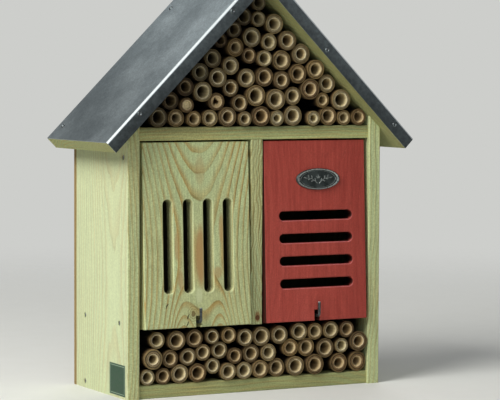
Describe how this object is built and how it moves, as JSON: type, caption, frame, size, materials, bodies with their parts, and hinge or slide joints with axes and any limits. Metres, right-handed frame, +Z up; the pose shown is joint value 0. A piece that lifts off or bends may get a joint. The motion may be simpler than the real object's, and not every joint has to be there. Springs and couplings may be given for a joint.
{
  "type": "insect hotel",
  "caption": "Gabled wooden insect hotel with bamboo nesting canes above and below two slotted, top-hung doors held by turning hooks, under a folded metal roof.",
  "frame": {"origin": "on the ground under the middle of the object's overall box", "axes": "+Z up, -Y towards the front with the doors, +X to the right seen from the front"},
  "size_m": [0.2828, 0.122, 0.3486],
  "materials": {
    "pine": "planed pressure-treated pine, green tint",
    "pine_panel": "thin pine plywood",
    "red_stain": "matte brick-red stain",
    "bamboo": "dry bamboo cane, sawn ends",
    "zinc_sheet": "weathered zinc sheet",
    "zinc_plate": "bright zinc plated",
    "nail_steel": "dull bright wire nail",
    "rusty_nail": "rusty nail head",
    "hook_wire": "zinc plated wire",
    "badge_metal": "dark gunmetal casting",
    "label": "printed film"
  },
  "bodies": {
    "case": {"left_side_wall": "pine", "right_side_wall": "pine", "floor_board": "pine", "upper_shelf": "pine", "lower_shelf": "pine", "centre_divider": "pine", "back_panel": "pine_panel", "hanger_plate": "zinc_plate", "hanger_screws": "zinc_plate", "left_roof_board": "pine", "right_roof_board": "pine", "roof_sheet": "zinc_sheet", "door_centre_pin": "nail_steel", "door_pivot_nails": "nail_steel", "left_wall_nails": "nail_steel", "right_wall_nails": "nail_steel", "divider_nails": "rusty_nail", "back_panel_nails": "nail_steel", "roof_board_nails": "nail_steel", "roof_flange_nails": "nail_steel", "roof_top_nails": "nail_steel", "side_label": "label", "gable_canes_row_1": "bamboo", "gable_canes_row_2": "bamboo", "gable_canes_row_3": "bamboo", "gable_canes_row_4": "bamboo", "gable_canes_row_5": "bamboo", "gable_canes_row_6": "bamboo", "gable_canes_row_7": "bamboo", "lower_canes_row_1": "bamboo", "lower_canes_row_2": "bamboo", "lower_canes_row_3": "bamboo"},
    "left_door": {"left_door": "pine"},
    "right_door": {"right_door": "red_stain", "badge_plate": "badge_metal", "badge_pins": "badge_metal"},
    "left_hook": {"left_hook": "hook_wire"},
    "right_hook": {"right_hook": "hook_wire"}
  },
  "joints": [
    {"name": "left_door_swing", "type": "hinge", "parent": "case", "child": "left_door", "pos_m": [-0.0548, -0.03745, 0.1945], "axis": [-1, 0, 0], "range_deg": [0, 130]},
    {"name": "right_door_swing", "type": "hinge", "parent": "case", "child": "right_door", "pos_m": [0.0552, -0.03745, 0.1945], "axis": [-1, 0, 0], "range_deg": [0, 122]},
    {"name": "left_hook_turn", "type": "hinge", "parent": "case", "child": "left_hook", "pos_m": [-0.0548, -0.0525, 0.0606], "axis": [0, 1, 0], "range_deg": [0, 180]},
    {"name": "right_hook_turn", "type": "hinge", "parent": "case", "child": "right_hook", "pos_m": [0.0552, -0.0525, 0.0606], "axis": [0, 1, 0], "range_deg": [0, 180]}
  ]
}
